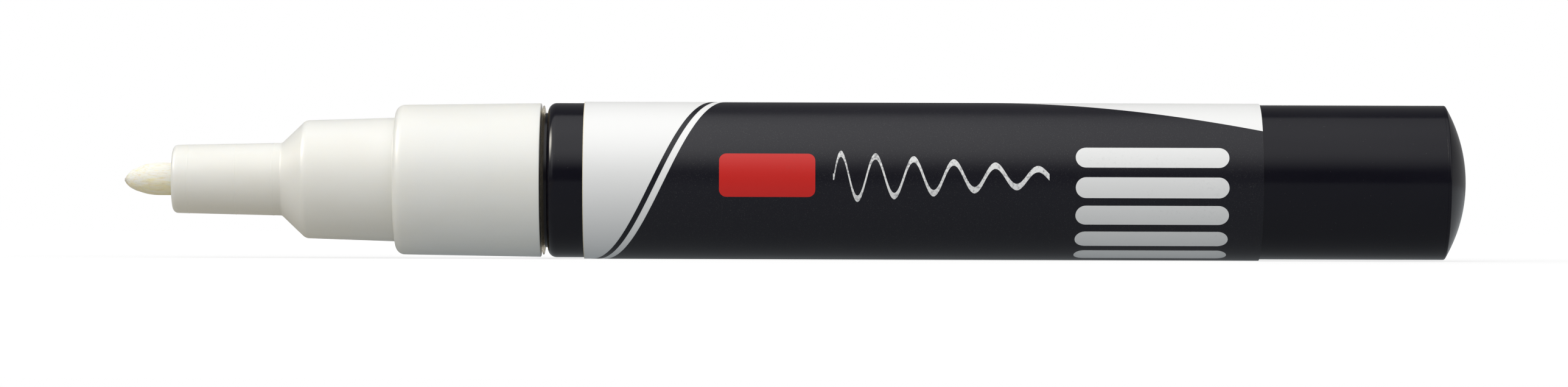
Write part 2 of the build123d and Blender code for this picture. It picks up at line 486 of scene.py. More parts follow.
def apply_modifier(piece: Piece, kind: str, **settings: Any) -> None:
    """Adds a modifier with its settings to a piece and applies it.

    Args:
        piece: the object, which is the active one.
        kind: Blender's name for the modifier's type.
        settings: values of the modifier's properties.
    """
    modifier = piece.modifiers.new(kind.title(), kind)
    for key, value in settings.items():
        setattr(modifier, key, value)
    bpy.ops.object.modifier_apply(modifier=modifier.name)


class Value:
    """A number in a node tree that takes part in arithmetic."""

    def __init__(self, recipe: "Recipe", socket: Socket) -> None:
        """Wraps an output socket of a recipe's tree."""
        self.recipe = recipe
        self.socket = socket

    def _math(self, operation: str, first: Any, second: Any) -> "Value":
        """Adds a Math node and returns its result."""
        node = self.recipe.node("ShaderNodeMath", {"operation": operation}, {0: first, 1: second})
        return Value(self.recipe, node.outputs[0])

    def __add__(self, other: Any) -> "Value":
        """Sum with a number or value."""
        return self._math("ADD", self, other)

    __radd__ = __add__

    def __mul__(self, other: Any) -> "Value":
        """Product with a number or value."""
        return self._math("MULTIPLY", self, other)

    __rmul__ = __mul__

    def __sub__(self, other: Any) -> "Value":
        """Difference from a number or value."""
        return self._math("SUBTRACT", self, other)

    def __rsub__(self, other: Any) -> "Value":
        """Difference of a number from this value."""
        return self._math("SUBTRACT", other, self)

    def at_most(self, other: Any) -> "Value":
        """The smaller of this and another value."""
        return self._math("MINIMUM", self, other)

    def at_least(self, other: Any) -> "Value":
        """The larger of this and another value."""
        return self._math("MAXIMUM", self, other)

    def blend(self, other: "Value", share: float) -> "Value":
        """This value with a share of another in its place."""
        return self * (1 - share) + other * share

    def between(self, levels: Pair) -> "Value":
        """The first level where this value is 0 and the second where it is 1."""
        return levels[0] + (levels[1] - levels[0]) * self


@dataclass(frozen=True)
class Pattern:
    """A smooth noise on a piece.

    Attributes:
        scale: number of patches per metre.
        detail: how much finer noise is added to it.
        stretch: factor on places along the axis; under 1 it draws the patches out.
    """

    scale: float
    detail: float = 2.0
    stretch: float = 1.0


class Recipe:
    """The node tree of a material, a lamp or the world."""

    def __init__(self, tree: bpy.types.NodeTree) -> None:
        """Empties a node tree to start from.

        Args:
            tree: the node tree.
        """
        self.tree = tree
        self.places: dict[float, Socket] = {}
        tree.nodes.clear()

    def node(
        self,
        kind: str,
        settings: Mapping[str, Any] | None = None,
        sockets: Mapping[str | int, Any] | None = None,
    ) -> bpy.types.Node:
        """Adds one node.

        Args:
            kind: Blender's name for the node's type.
            settings: the node's own properties.
            sockets: numbers, colours, values or sockets for the node's inputs.

        Returns:
            The new node.
        """
        node = self.tree.nodes.new(kind)
        for key, setting in (settings or {}).items():
            setattr(node, key, setting)
        for key, given in (sockets or {}).items():
            entry = node.inputs[key]
            source = given.socket if isinstance(given, Value) else given
            if isinstance(source, Socket):
                self.tree.links.new(source, entry)
            elif entry.type == "RGBA":
                entry.default_value = (*given, 1.0)
            else:
                entry.default_value = given
        return node

    def place(self, stretch: float = 1.0) -> Socket:
        """Position on the piece in metres from the middle of the axis.

        Args:
            stretch: factor on places along the axis.

        Returns:
            The vector socket.
        """
        if stretch not in self.places:
            mapping = self.node(
                "ShaderNodeMapping",
                {"vector_type": "POINT"},
                {
                    "Vector": self.node("ShaderNodeTexCoord").outputs["Object"],
                    "Location": (0.0, 0.0, -DRAWING.axis),
                    "Scale": (stretch, 1.0, 1.0),
                },
            )
            self.places[stretch] = mapping.outputs["Vector"]
        return self.places[stretch]

    def noise(self, pattern: Pattern) -> Value:
        """Smooth noise from 0 to 1.

        Args:
            pattern: how fine it is.

        Returns:
            The noise.
        """
        node = self.node(
            "ShaderNodeTexNoise",
            {},
            {
                "Vector": self.place(pattern.stretch),
                "Scale": pattern.scale,
                "Detail": pattern.detail,
            },
        )
        return Value(self, node.outputs["Fac"])

    def step(self, value: Value, levels: Pair) -> Value:
        """Smooth step from 0 at the first of two levels to 1 at the second.

        Args:
            value: the number that is tested.
            levels: where the step begins and ends.

        Returns:
            The step.
        """
        node = self.node(
            "ShaderNodeMapRange",
            {"interpolation_type": "SMOOTHSTEP"},
            {"Value": value, "From Min": levels[0], "From Max": levels[1]},
        )
        return Value(self, node.outputs["Result"])

    def mix(self, share: Value, first: Any, second: Any) -> Socket:
        """Mixes two colours by a share of the second.

        Args:
            share: 0 for the first colour and 1 for the second.
            first: a colour or colour socket.
            second: a colour or colour socket.

        Returns:
            The mixed colour.
        """
        node = self.node(
            "ShaderNodeMix",
            {"data_type": "RGBA"},
            {"Factor": share, MIX_FIRST: first, MIX_SECOND: second},
        )
        return node.outputs[MIX_RESULT]

    def part(self, place: Socket, axis: str) -> Value:
        """One coordinate, X, Y or Z, of a vector."""
        node = self.node("ShaderNodeSeparateXYZ", {}, {0: place})
        return Value(self, node.outputs[axis])

    def bump(self, height: Value, depth: float, strength: float) -> Socket:
        """Normal of a surface with fine relief.

        Args:
            height: relief from 0 to 1.
            depth: height of the relief.
            strength: how much of it shows.

        Returns:
            The normal.
        """
        node = self.node(
            "ShaderNodeBump",
            {},
            {"Height": height, "Distance": depth * MM, "Strength": strength},
        )
        return node.outputs["Normal"]

    def surface(self, **sockets: Any) -> None:
        """Ends the recipe with a Principled shader.

        Args:
            sockets: the shader's inputs; underscores in their names stand for spaces.
        """
        named = {key.replace("_", " "): given for key, given in sockets.items()}
        shader = self.node("ShaderNodeBsdfPrincipled", {}, named)
        self.node("ShaderNodeOutputMaterial", {}, {"Surface": shader.outputs[0]})


def new_recipe(name: str) -> tuple[bpy.types.Material, Recipe]:
    """Makes an empty material and the recipe that fills it.

    Args:
        name: name of the material.

    Returns:
        The material and the recipe.
    """
    material = bpy.data.materials.new(name)
    material.use_nodes = True
    return material, Recipe(material.node_tree)


@dataclass(frozen=True)
class Finish(ABC):
    """What a surface is made of.

    Attributes:
        name: name of the material.
    """

    name: str

    def material(self) -> bpy.types.Material:
        """Makes the material when it is first asked for.

        Returns:
            The material.
        """
        material = bpy.data.materials.get(self.name)
        if material is None:
            material, recipe = new_recipe(self.name)
            self.fill(recipe)
        return material

    @abstractmethod
    def fill(self, recipe: Recipe) -> None:
        """Builds the surface in the material's recipe."""


@dataclass(frozen=True)
class MouldedPlastic(Finish):
    """An injection moulding with flow marks, a faint orange peel and specks.

    Attributes:
        colour: main colour.
        flow_colour: colour of the flow marks.
        speck_colour: colour of small specks.
        roughness: lowest and highest roughness.
        reflection: specular level.
        peel: strength of the orange peel.
        specks: how far the specks' levels come down, which makes more of them.
        milky: share of the light that enters and scatters inside.
        depth: how far it scatters.
        scatter: how far each colour does, as a share.
        flow: pattern of the flow marks.
        flow_levels: where a flow mark begins and is full.
        fine: pattern of the orange peel.
        grain: pattern of its finest part.
        grain_share: share of that part.
        peel_depth: depth of the orange peel.
        dull_share: share of the orange peel in the dull places.
        dull_levels: where a dull place begins and is full.
        dots: pattern of the specks.
        dot_levels: where a speck begins and is full.
    """

    colour: Colour
    flow_colour: Colour
    speck_colour: Colour
    roughness: Pair
    reflection: float = 0.5
    peel: float = 0.1
    specks: float = 0.0
    milky: float = 0.0
    depth: float = 1.0
    scatter: Colour = (1.0, 0.9, 0.75)
    flow: Pattern = Pattern(260.0, 3.0, stretch=0.35)
    flow_levels: Pair = (0.35, 0.7)
    fine: Pattern = Pattern(2600.0)
    grain: Pattern = Pattern(5200.0, 1.0)
    grain_share: float = 0.3
    peel_depth: float = 0.02
    dull_share: float = 0.5
    dull_levels: Pair = (0.3, 0.7)
    dots: Pattern = Pattern(7000.0, 0.0)
    dot_levels: Pair = (0.86, 0.9)

    def fill(self, recipe: Recipe) -> None:
        """Builds the moulding's surface.

        Args:
            recipe: the material's recipe.
        """
        flow, fine = recipe.noise(self.flow), recipe.noise(self.fine)
        colour = recipe.mix(recipe.step(flow, self.flow_levels), self.colour, self.flow_colour)
        first, full = self.dot_levels
        dots = recipe.step(recipe.noise(self.dots), (first - self.specks, full - self.specks))
        dull = recipe.step(flow.blend(fine, self.dull_share), self.dull_levels)
        relief = fine.blend(recipe.noise(self.grain), self.grain_share)
        recipe.surface(
            Base_Color=recipe.mix(dots, colour, self.speck_colour),
            Roughness=dull.between(self.roughness),
            Specular_IOR_Level=self.reflection,
            Subsurface_Weight=self.milky,
            Subsurface_Radius=self.scatter,
            Subsurface_Scale=self.depth * MM,
            Normal=recipe.bump(relief, self.peel_depth, self.peel),
        )


@dataclass(frozen=True)
class PressedFibre(Finish):
    """Bonded fibres that run along the nib, with painted warm shade below, stained at its tip.

    Attributes:
        pale: colour of clean fibre.
        warm: colour of the streaks between fibres.
        patch: colour of the patches that the binder has yellowed.
        fleck: colour of small open pores.
        stain: colour of the worn point.
        stain_stations: stations where the stain is full and where it has faded away.
        stain_share: how much of the fibre's colour it hides.
        ragged: how far the stain's edge swings.
        painted_under_shade: painted shade added to streaks and patches below the axis and taken off
            above, so the underside reads warmer and the top paler.
        painted_under_shade_heights: heights from the axis where the one ends and the other begins.
        painted_under_shade_patches: share of it that goes to the patches.
        strands: pattern of the fibres.
        blotches: pattern of the binder.
        fuzz: pattern of loose ends.
        pores: pattern of the pores.
        streak_blotch: share of the binder in the streaks.
        streak_levels: where a streak begins and is full.
        patch_strand: share of the fibres in the patches.
        patch_levels: where a patch begins and is full.
        pore_levels: where a pore begins and is full.
        pore_share: how much of the fibre's colour it hides.
        roughness: lowest and highest roughness.
        reflection: specular level.
        milky: share of the light that enters and scatters inside.
        depth: how far it scatters.
        scatter: how far each colour does, as a share.
        relief_fuzz: share of the loose ends in the relief.
        relief_depth: depth of the relief.
        relief: strength of the relief.
    """

    pale: Colour
    warm: Colour
    patch: Colour
    fleck: Colour
    stain: Colour
    stain_stations: Pair = (-0.1, 0.5)
    stain_share: float = 0.6
    ragged: float = 0.6
    painted_under_shade: Pair = (0.14, -0.10)
    painted_under_shade_heights: Pair = (-1.6, 0.5)
    painted_under_shade_patches: float = 0.5
    strands: Pattern = Pattern(3600.0, 3.0, stretch=0.12)
    blotches: Pattern = Pattern(900.0, stretch=0.6)
    fuzz: Pattern = Pattern(9000.0)
    pores: Pattern = Pattern(8000.0, 1.0, stretch=0.2)
    streak_blotch: float = 0.4
    streak_levels: Pair = (0.43, 0.6)
    patch_strand: float = 0.3
    patch_levels: Pair = (0.54, 0.72)
    pore_levels: Pair = (0.5, 0.75)
    pore_share: float = 0.7
    roughness: Pair = (0.78, 0.93)
    reflection: float = 0.25
    milky: float = 0.5
    depth: float = 0.9
    scatter: Colour = (1.0, 0.8, 0.4)
    relief_fuzz: float = 0.3
    relief_depth: float = 0.06
    relief: float = 0.9

    def fill(self, recipe: Recipe) -> None:
        """Builds the fibre's surface.

        Args:
            recipe: the material's recipe.
        """
        place = recipe.place()
        strands, blotch = recipe.noise(self.strands), recipe.noise(self.blotches)
        fuzz, pores = recipe.noise(self.fuzz), recipe.noise(self.pores)
        # Painted shade: below the axis more of the fibre becomes warm streaks and yellowed patches,
        # above it less, standing in for warm bounce light on the underside.
        low, high = (height * MM for height in self.painted_under_shade_heights)
        painted_under_shade = recipe.step(recipe.part(place, "Z"), (low, high)).between(self.painted_under_shade)
        streak = strands.blend(blotch, self.streak_blotch) + painted_under_shade
        colour = recipe.mix(recipe.step(streak, self.streak_levels), self.pale, self.warm)
        yellowed = blotch.blend(strands, self.patch_strand) + painted_under_shade * self.painted_under_shade_patches
        colour = recipe.mix(recipe.step(yellowed, self.patch_levels), colour, self.patch)
        open_pores = recipe.step(pores, self.pore_levels) * self.pore_share
        colour = recipe.mix(open_pores, colour, self.fleck)
        edge = recipe.part(place, "X") + (fuzz - NOISE_MIDDLE) * (self.ragged * MM)
        full, faded = (DRAWING.x(station) for station in self.stain_stations)
        worn = (1 - recipe.step(edge, (full, faded))) * self.stain_share
        relief = strands.blend(fuzz, self.relief_fuzz)
        recipe.surface(
            Base_Color=recipe.mix(worn, colour, self.stain),
            Roughness=fuzz.between(self.roughness),
            Specular_IOR_Level=self.reflection,
            Subsurface_Weight=self.milky,
            Subsurface_Radius=self.scatter,
            Subsurface_Scale=self.depth * MM,
            Normal=recipe.bump(relief, self.relief_depth, self.relief),
        )


@dataclass(frozen=True)
class PrintedFilm(Finish):
    """Wrap film or a layer of ink on it, with a fine print grain.

    Attributes:
        colour: main colour.
        worn_colour: colour where the layer is thin.
        roughness: lowest and highest roughness.
        reflection: specular level.
        wear: share of the layer that is thin, from 0 to 1.
        specks: colour of the fine specks in it, or none.
        cut: station of a cut edge that shows the film's core, or none.
        cut_colour: colour of the core.
        cut_width: how far the core shows behind the cut.
        cut_full: share of that width over which it shows in full.
        grain: pattern of the print.
        sweep: pattern that the print roller has left.
        sweep_share: share of the roller in the thin places.
        thin_levels: where a thin place begins and is full.
        thin_shift: how far full wear brings those levels down.
        dots: pattern of the specks.
        dot_levels: where a speck begins and is full.
        relief_depth: depth of the print's relief.
        relief: strength of the relief.
    """

    colour: Colour
    worn_colour: Colour
    roughness: Pair
    reflection: float = 0.5
    wear: float = 0.2
    specks: Colour | None = None
    cut: float | None = None
    cut_colour: Colour = (0.8, 0.7, 0.5)
    cut_width: float = 0.07
    cut_full: float = 0.5
    grain: Pattern = Pattern(4200.0)
    sweep: Pattern = Pattern(420.0, stretch=0.2)
    sweep_share: float = 0.4
    thin_levels: Pair = (0.72, 0.95)
    thin_shift: float = 0.3
    dots: Pattern = Pattern(13000.0, 0.0)
    dot_levels: Pair = (0.62, 0.86)
    relief_depth: float = 0.01
    relief: float = 0.08

    def fill(self, recipe: Recipe) -> None:
        """Builds the layer's surface.

        Args:
            recipe: the material's recipe.
        """
        grain, sweep = recipe.noise(self.grain), recipe.noise(self.sweep)
        first, full = (level - self.thin_shift * self.wear for level in self.thin_levels)
        thin = recipe.step(grain.blend(sweep, self.sweep_share), (first, full))
        colour = recipe.mix(thin, self.colour, self.worn_colour)
        if self.specks is not None:
            dots = recipe.step(recipe.noise(self.dots), self.dot_levels)
            colour = recipe.mix(dots, colour, self.specks)
        if self.cut is not None:
            behind = (recipe.part(recipe.place(), "X") - DRAWING.x(self.cut)) * (1 / MM)
            ragged = behind - (grain - NOISE_MIDDLE) * self.cut_width
            core = 1 - recipe.step(ragged, (self.cut_full * self.cut_width, self.cut_width))
            colour = recipe.mix(core, colour, self.cut_colour)
        recipe.surface(
            Base_Color=colour,
            Roughness=sweep.between(self.roughness),
            Specular_IOR_Level=self.reflection,
            Normal=recipe.bump(grain, self.relief_depth, self.relief),
        )


@dataclass(frozen=True)
class Elastomer(Finish):
    """Soft moulding, cloudy and slightly dusty.

    Attributes:
        colour: main colour.
        dust: colour of dust on it.
        roughness: roughness of the clean and of the dusty surface.
        through: share of light that passes through.
        index: index of refraction; a thin lip barely bends the light.
        cloud: pattern of the dust.
        dust_levels: where dust begins and is full.
        relief_depth: depth of the dust's relief.
        relief: strength of the relief.
    """

    colour: Colour
    dust: Colour
    roughness: Pair
    through: float = 0.0
    index: float = 1.5
    cloud: Pattern = Pattern(1500.0, 3.0)
    dust_levels: Pair = (0.45, 0.75)
    relief_depth: float = 0.02
    relief: float = 0.15

    def fill(self, recipe: Recipe) -> None:
        """Builds the soft surface.

        Args:
            recipe: the material's recipe.
        """
        cloud = recipe.noise(self.cloud)
        recipe.surface(
            Base_Color=recipe.mix(recipe.step(cloud, self.dust_levels), self.colour, self.dust),
            Roughness=cloud.between(self.roughness),
            Transmission_Weight=self.through,
            IOR=self.index,
            Normal=recipe.bump(cloud, self.relief_depth, self.relief),
        )


@dataclass(frozen=True)
class Steel(Finish):
    """Bare steel with drawing or polishing lines.

    Attributes:
        colour: colour of the metal.
        tarnish: colour of its dull patches.
        roughness: lowest and highest roughness.
        lines: pattern of its lines.
        patches: pattern of its dull patches.
        patch_levels: where a patch begins and is full.
        relief_depth: depth of the lines.
        relief: strength of the relief.
    """

    colour: Colour
    tarnish: Colour
    roughness: Pair
    lines: Pattern
    patches: Pattern = Pattern(800.0)
    patch_levels: Pair = (0.4, 0.8)
    relief_depth: float = 0.005
    relief: float = 0.2

    def fill(self, recipe: Recipe) -> None:
        """Builds the metal's surface.

        Args:
            recipe: the material's recipe.
        """
        lines = recipe.noise(self.lines)
        dull = recipe.step(recipe.noise(self.patches), self.patch_levels)
        recipe.surface(
            Base_Color=recipe.mix(dull, self.colour, self.tarnish),
            Metallic=1.0,
            Roughness=lines.between(self.roughness),
            Normal=recipe.bump(lines, self.relief_depth, self.relief),
        )


WHITE_PLASTIC = MouldedPlastic(
    name="white_moulding",
    colour=(0.84, 0.835, 0.79),
    flow_colour=(0.825, 0.815, 0.76),
    speck_colour=(0.87, 0.865, 0.83),
    roughness=(0.34, 0.44),
    reflection=0.36,
    peel=0.06,
    milky=0.35,
    depth=1.2,
)
BLACK_PLASTIC = MouldedPlastic(
    name="black_moulding",
    colour=(0.0022, 0.0019, 0.0060),
    flow_colour=(0.0032, 0.0029, 0.0070),
    speck_colour=(0.022, 0.022, 0.025),
    roughness=(0.13, 0.19),
    reflection=0.26,
    peel=0.05,
    specks=0.03,
)
NATURAL_PLASTIC = MouldedPlastic(
    name="natural_moulding",
    colour=(0.80, 0.78, 0.72),
    flow_colour=(0.74, 0.72, 0.66),
    speck_colour=(0.85, 0.83, 0.78),
    roughness=(0.4, 0.55),
)
NIB_FIBRE = PressedFibre(
    name="pressed_fibre",
    pale=(0.88, 0.87, 0.80),
    warm=(0.89, 0.84, 0.63),
    patch=(0.87, 0.80, 0.51),
    fleck=(0.80, 0.72, 0.50),
    stain=(0.38, 0.31, 0.22),
)
SEALING_RUBBER = Elastomer(
    name="natural_rubber",
    colour=(0.60, 0.55, 0.45),
    dust=(0.54, 0.50, 0.42),
    roughness=(0.1, 0.25),
    through=0.97,
    index=1.04,
)
SEAT_RUBBER = Elastomer(
    name="grey_rubber",
    colour=(0.10, 0.10, 0.10),
    dust=(0.16, 0.16, 0.155),
    roughness=(0.7, 0.85),
)
SPRING_STEEL = Steel(
    name="drawn_wire",
    colour=(0.60, 0.60, 0.62),
    tarnish=(0.46, 0.45, 0.44),
    roughness=(0.25, 0.45),
    lines=Pattern(6000.0, stretch=0.4),
)
BALL_STEEL = Steel(
    name="polished_ball",
    colour=(0.70, 0.70, 0.72),
    tarnish=(0.60, 0.60, 0.61),
    roughness=(0.06, 0.16),
    lines=Pattern(6000.0),
)
LABEL_FILM = PrintedFilm(
    name="white_film",
    colour=(0.84, 0.84, 0.83),
    worn_colour=(0.80, 0.80, 0.79),
    roughness=(0.36, 0.46),
    wear=0.4,
    cut=44.52,
)
BLACK_INK = PrintedFilm(
    name="black_ink",
    colour=(0.0020, 0.0017, 0.0066),
    worn_colour=(0.0050, 0.0046, 0.0100),
    roughness=(0.25, 0.35),
    reflection=0.36,
    specks=(0.024, 0.024, 0.027),
)
RED_INK = PrintedFilm(
    name="red_ink",
    colour=(0.60, 0.006, 0.002),
    worn_colour=(0.55, 0.014, 0.008),
    roughness=(0.34, 0.44),
    wear=0.5,
)
CHALK_INK = PrintedFilm(
    name="chalk_ink",
    colour=(0.80, 0.80, 0.79),
    worn_colour=(0.30, 0.30, 0.31),
    roughness=(0.46, 0.56),
    wear=0.9,
)
PALE_INK = PrintedFilm(
    name="pale_ink",
    colour=(0.82, 0.82, 0.81),
    worn_colour=(0.74, 0.74, 0.73),
    roughness=(0.38, 0.48),
    wear=0.6,
)


def settle(piece: Piece, finish: Finish, body: Body, node: str | None = None) -> None:
    """Dresses a finished piece and ties it to the frame.

    Args:
        piece: the object.
        finish: the finish that it gets.
        body: the body that it rides on.
        node: the CAD node that it replaces, if any.
    """
    piece.data.materials.clear()
    piece.data.materials.append(finish.material())
    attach(piece, body.value)
    if node:
        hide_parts(node)


class Assembly(ABC):
    """One sub-assembly of the marker."""

    @abstractmethod
    def build(self) -> list[Piece]:
        """Models the pieces and returns them."""

    @abstractmethod
    def dress(self, pieces: Sequence[Piece]) -> None:
        """Gives the pieces their finish and ties them to the frame."""


@dataclass
class Nib(Assembly):
    """The fibre bullet nib.

    Attributes:
        diameter: of the rod.
        rear: station of the rod's end.
        point_length: length of the rounded point.
        flank_length: station where the point's two arcs meet.
        flank_diameter: diameter there.
        tip_diameter: of the flat at the very tip.
        side_steps: straight pieces of the rear arc.
        tip_steps: straight pieces of the front arc.
        rings: station, spacing and number of the rod's rings, which carry its relief.
        droop: how far the tip lies under the axis.
        droop_front: station up to which it droops in full.
        droop_reach: how far back the droop reaches.
        fuzz: depth of the fibres' relief.
        fuzz_length: length of a fibre in it, as a multiple of its width.
        fuzz_size: size of the relief's forms.
        fuzz_detail: number of finer forms added to it.
        fuzz_level: level of the relief that lies on the rod's surface.
    """

    diameter: float = 3.15
    rear: float = 27.53
    point_length: float = 3.4
    flank_length: float = 0.88
    flank_diameter: float = 1.94
    tip_diameter: float = 0.2
    side_steps: int = 24
    tip_steps: int = 14
    rings: tuple[float, float, int] = (4.0, 0.25, 10)
    droop: float = 0.1
    droop_front: float = 0.05
    droop_reach: float = 2.6
    fuzz: float = 0.05
    fuzz_length: float = 6.0
    fuzz_size: float = 0.22
    fuzz_detail: int = 2
    fuzz_level: float = 0.62

    def profile(self) -> list[Corner]:
        """Corners from the tip to the rear end.

        Returns:
            The corners, the first and the last of them on the axis.
        """
        radius = self.diameter / 2
        side = Corner(self.point_length, radius)
        flank = Corner(self.flank_length, self.flank_diameter / 2)
        tip = Corner(0.0, self.tip_diameter / 2)
        first = tangent_arc(side, Way.TO_NIB.heading, flank, self.side_steps)
        second = tangent_arc(flank, tuple(first[-2].towards(flank)), tip, self.tip_steps)
        station, spacing, count = self.rings
        return [
            Corner(0.0, 0.0),
            *reversed(second),
            *reversed(first[:-1]),
            side,
            *(Corner(station + spacing * step, radius) for step in range(count)),
            Corner(self.rear, radius),
            Corner(self.rear, 0.0),
        ]

    def build(self) -> list[Piece]:
        """Turns the nib, bends its tip down a little and raises its fibres.

        Returns:
            The nib.
        """
        piece = turned("fibre_nib", self.profile(), Ends.POLES)
        tip = DRAWING.x(self.droop_front)
        piece.pick(lambda co: co.x < tip)
        bpy.ops.transform.translate(
            value=(0, 0, -self.droop * MM),
            use_proportional_edit=True,
            proportional_edit_falloff="SMOOTH",
            proportional_size=self.droop_reach * MM,
        )
        nib = piece.finish()
        bpy.ops.object.empty_add(location=(0, 0, DRAWING.axis))
        strand = bpy.context.active_object
        strand.scale = (self.fuzz_length * MM, MM, MM)
        bpy.context.view_layer.update()
        bpy.context.view_layer.objects.active = nib
        relief = bpy.data.textures.new("fibre_relief", "CLOUDS")
        relief.noise_scale = self.fuzz_size
        relief.noise_depth = self.fuzz_detail
        apply_modifier(
            nib,
            "DISPLACE",
            texture=relief,
            texture_coords="OBJECT",
            texture_coords_object=strand,
            strength=self.fuzz * MM,
            mid_level=self.fuzz_level,
        )
        bpy.data.objects.remove(strand)
        bpy.data.textures.remove(relief)
        return [nib]

    def dress(self, pieces: Sequence[Piece]) -> None:
        """Gives the nib its fibre and lets it move with the nib's body."""
        settle(pieces[0], NIB_FIBRE, Body.NIB, "nib")


@dataclass
class Nose(Assembly):
    """The white nose: nozzle, cone, cap seat and collar in one moulding.

    Attributes:
        nozzle: stations and radii of the nozzle's front and rear.
        spigot: stations and radii of the cap seat's front and rear.
        collar: stations and radii of the collar's front and rear.
        guide_radius: bore that the nib slides in.
        guide_edge: rounding of the bore's mouth.
        sleeve: rear station and radius of the guide inside.
        chamber: front station and radius of the ink chamber.
        seat_front: station of the face that the valve seat lies on.
        skirt_radius: bore over the barrel's neck.
        skirt_edge: rounding of that bore's mouth.
        groove: the groove for the neck's bead.
        witness_stations: faint rings that the mould has left on the nozzle.
        witness_height: how far they stand out.
        witness_width: half of their width.
        smooth_under: edges that turn by less than this, in degrees, are shaded smooth.
    """

    nozzle: tuple[Corner, Corner] = (Corner(4.7, 3.28, 0.5), Corner(15.25, 3.51, 0.3))
    spigot: tuple[Corner, Corner] = (Corner(17.55, 5.7, 0.8), Corner(26.25, 5.98, 0.12))
    collar: tuple[Corner, Corner] = (Corner(26.25, 7.22, 0.9), Corner(40.34, 7.425, 0.1))
    guide_radius: float = 1.655
    guide_edge: float = 0.06
    sleeve: Corner = Corner(23.95, 2.555)
    chamber: Corner = Corner(17.95, 4.5)
    seat_front: float = 28.85
    skirt_radius: float = 6.53
    skirt_edge: float = 0.08
    groove: SnapBead = SnapBead(35.35, 0.63, 0.2, rise=(0.81, 0.59))
    witness_stations: tuple[float, ...] = (6.27, 10.81, 14.43)
    witness_height: float = 0.02
    witness_width: float = 0.07
    smooth_under: float = 22.0

    def witness(self, station: float) -> list[Corner]:
        """Corners of one faint ring on the nozzle.

        Args:
            station: where the ring is.

        Returns:
            Its corners, with one more on either side that keeps the nozzle flat.
        """
        front, rear = self.nozzle
        share = (station - front.station) / (rear.station - front.station)
        radius = front.radius + share * (rear.radius - front.radius)
        outer = self.witness_width + GUARD
        return [
            Corner(station - outer, radius),
            Corner(station - self.witness_width, radius),
            Corner(station, radius + self.witness_height),
            Corner(station + self.witness_width, radius),
            Corner(station + outer, radius),
        ]

    def profile(self) -> list[Corner]:
        """Corners of the whole wall.

        Returns:
            The corners of the outside and then, on the way back, of the inside.
        """
        return [
            self.nozzle[0],
            *(corner for station in self.witness_stations for corner in self.witness(station)),
            self.nozzle[1],
            *self.spigot,
            *self.collar,
            Corner(self.collar[1].station, self.skirt_radius, self.skirt_edge),
            *self.groove.corners(self.skirt_radius, Way.TO_NIB),
            Corner(self.seat_front, self.skirt_radius),
            Corner(self.seat_front, self.chamber.radius),
            self.chamber,
            Corner(self.chamber.station, self.sleeve.radius),
            self.sleeve,
            Corner(self.sleeve.station, self.guide_radius),
            Corner(self.nozzle[0].station, self.guide_radius, self.guide_edge),
        ]

    def build(self) -> list[Piece]:
        """Turns the nose."""
        return [turned("nose_moulding", self.profile(), Ends.LOOP).finish(self.smooth_under)]

    def dress(self, pieces: Sequence[Piece]) -> None:
        """Gives the nose its white plastic."""
        settle(pieces[0], WHITE_PLASTIC, Body.MARKER, "nose")


@dataclass
class SealingRing(Assembly):
    """The thin translucent lip between the collar and the shoulder.

    Attributes:
        front: station of its front flank.
        rear: station of its rear flank.
        inner_radius: where it sits on the neck.
        outer_radius: its rim.
        rim: half width of the rim's flat.
        flank_steps: straight pieces of each flank.
        smooth_under: edges that turn by less than this, in degrees, are shaded smooth.
    """

    front: float = 40.42
    rear: float = 40.75
    inner_radius: float = 6.53
    outer_radius: float = 7.2
    rim: float = 0.045
    flank_steps: int = 8
    smooth_under: float = 50.0

    def flank(self, station: float, rim_station: float) -> list[Corner]:
        """Corners of one flank.

        Args:
            station: of its foot.
            rim_station: of its edge at the rim.

        Returns:
            The corners from the foot to the rim.
        """
        foot = Corner(station, self.inner_radius)
        rim = Corner(rim_station, self.outer_radius)
        return [foot, *tangent_arc(foot, OUTWARD, rim, self.flank_steps)]

    def build(self) -> list[Piece]:
        """Turns the leaf-shaped section.

        Returns:
            The ring.
        """
        middle = (self.front + self.rear) / 2
        front_flank = self.flank(self.front, middle - self.rim)
        rear_flank = self.flank(self.rear, middle + self.rim)
        profile = [*front_flank, *reversed(rear_flank)]
        return [turned("sealing_lip", profile, Ends.LOOP).finish(self.smooth_under)]

    def dress(self, pieces: Sequence[Piece]) -> None:
        """Gives the ring its natural rubber."""
        settle(pieces[0], SEALING_RUBBER, Body.MARKER, "sealing_ring")


